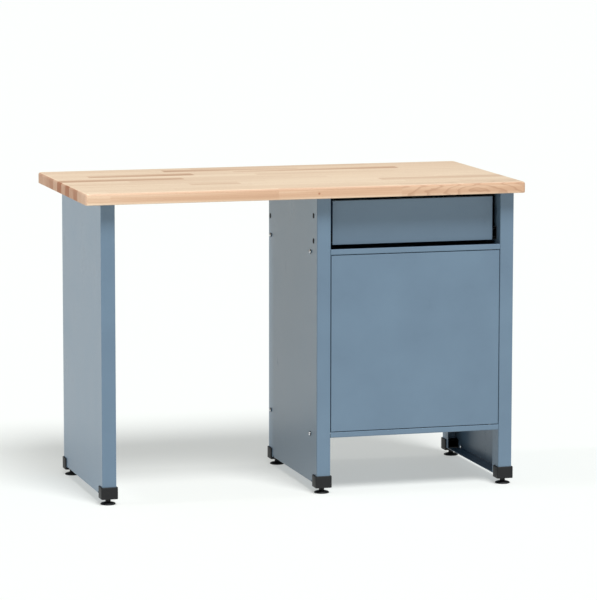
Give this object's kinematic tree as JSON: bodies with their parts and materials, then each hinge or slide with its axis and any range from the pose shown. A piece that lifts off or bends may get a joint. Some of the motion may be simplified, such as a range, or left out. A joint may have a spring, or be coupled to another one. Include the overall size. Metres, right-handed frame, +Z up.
{
  "type": "workbench with cabinet",
  "caption": "Workbench with a thick beech top on folded steel side panels, a cabinet with a runner drawer and a flush push-latch door, and levelling feet.",
  "frame": {"origin": "floor level, below the middle of the bench top", "axes": "+X to the right, +Y to the back, +Z up; the door and drawer face -Y"},
  "size_m": [1.2, 0.6, 0.825],
  "materials": {
    "beech_wood": "oiled, satin",
    "blue_coat": "satin powder coat",
    "black_plastic": "matte moulded",
    "zinc_steel": "zinc plated",
    "white_nylon": "natural nylon"
  },
  "bodies": {
    "bench": {"bench_top": "beech_wood", "left_side_panel": "blue_coat", "middle_side_panel": "blue_coat", "right_side_panel": "blue_coat", "left_front_foot_cap": "black_plastic", "left_rear_foot_cap": "black_plastic", "middle_front_foot_cap": "black_plastic", "middle_rear_foot_cap": "black_plastic", "right_front_foot_cap": "black_plastic", "right_rear_foot_cap": "black_plastic", "floor_left_angle": "blue_coat", "floor_right_angle": "blue_coat", "divider_left_angle": "blue_coat", "divider_right_angle": "blue_coat", "cabinet_floor": "blue_coat", "drawer_divider": "blue_coat", "cabinet_back": "blue_coat", "cupboard_shelf": "blue_coat", "left_front_shelf_peg": "zinc_steel", "left_rear_shelf_peg": "zinc_steel", "right_front_shelf_peg": "zinc_steel", "right_rear_shelf_peg": "zinc_steel", "lower_pivot_pin": "zinc_steel", "upper_pivot_pin": "zinc_steel", "latch_housing": "black_plastic", "left_cabinet_rail": "zinc_steel", "right_cabinet_rail": "zinc_steel"},
    "drawer": {"drawer_box": "blue_coat", "drawer_front": "blue_coat", "left_drawer_rail": "zinc_steel", "right_drawer_rail": "zinc_steel"},
    "left_retainer": {"left_ball_retainer": "zinc_steel"},
    "right_retainer": {"right_ball_retainer": "zinc_steel"},
    "door": {"door_pan": "blue_coat", "door_inner_panel": "blue_coat", "lower_door_bush": "white_nylon", "upper_door_bush": "white_nylon", "latch_strike": "zinc_steel"},
    "plunger": {"latch_plunger": "white_nylon"},
    "left_front_foot_body": {"left_front_foot": "black_plastic"},
    "left_rear_foot_body": {"left_rear_foot": "black_plastic"},
    "middle_front_foot_body": {"middle_front_foot": "black_plastic"},
    "middle_rear_foot_body": {"middle_rear_foot": "black_plastic"},
    "right_front_foot_body": {"right_front_foot": "black_plastic"},
    "right_rear_foot_body": {"right_rear_foot": "black_plastic"}
  },
  "joints": [
    {"name": "drawer_slide", "type": "slide", "parent": "bench", "child": "drawer", "axis": [0, -1, 0], "range_m": [0, 0.3]},
    {"name": "left_retainer_slide", "type": "slide", "parent": "bench", "child": "left_retainer", "axis": [0, -1, 0], "range_m": [0, 0.15]},
    {"name": "right_retainer_slide", "type": "slide", "parent": "bench", "child": "right_retainer", "axis": [0, -1, 0], "range_m": [0, 0.15]},
    {"name": "door_hinge", "type": "hinge", "parent": "bench", "child": "door", "pos_m": [0.5194, -0.252, 0.4025], "axis": [0, 0, 1], "range_deg": [0, 110]},
    {"name": "plunger_press", "type": "slide", "parent": "bench", "child": "plunger", "axis": [0, 1, 0], "range_m": [0, 0.004], "stiffness_N_per_m": 300},
    {"name": "left_front_foot_screw", "type": "slide", "parent": "bench", "child": "left_front_foot_body", "axis": [0, 0, 1], "range_m": [-0.01, 0.007]},
    {"name": "left_rear_foot_screw", "type": "slide", "parent": "bench", "child": "left_rear_foot_body", "axis": [0, 0, 1], "range_m": [-0.01, 0.007]},
    {"name": "middle_front_foot_screw", "type": "slide", "parent": "bench", "child": "middle_front_foot_body", "axis": [0, 0, 1], "range_m": [-0.01, 0.007]},
    {"name": "middle_rear_foot_screw", "type": "slide", "parent": "bench", "child": "middle_rear_foot_body", "axis": [0, 0, 1], "range_m": [-0.01, 0.007]},
    {"name": "right_front_foot_screw", "type": "slide", "parent": "bench", "child": "right_front_foot_body", "axis": [0, 0, 1], "range_m": [-0.01, 0.007]},
    {"name": "right_rear_foot_screw", "type": "slide", "parent": "bench", "child": "right_rear_foot_body", "axis": [0, 0, 1], "range_m": [-0.01, 0.007]}
  ],
  "couplings": [
    {"joint": "left_retainer_slide", "follows": "drawer_slide", "ratio": 0.5},
    {"joint": "right_retainer_slide", "follows": "drawer_slide", "ratio": 0.5}
  ]
}
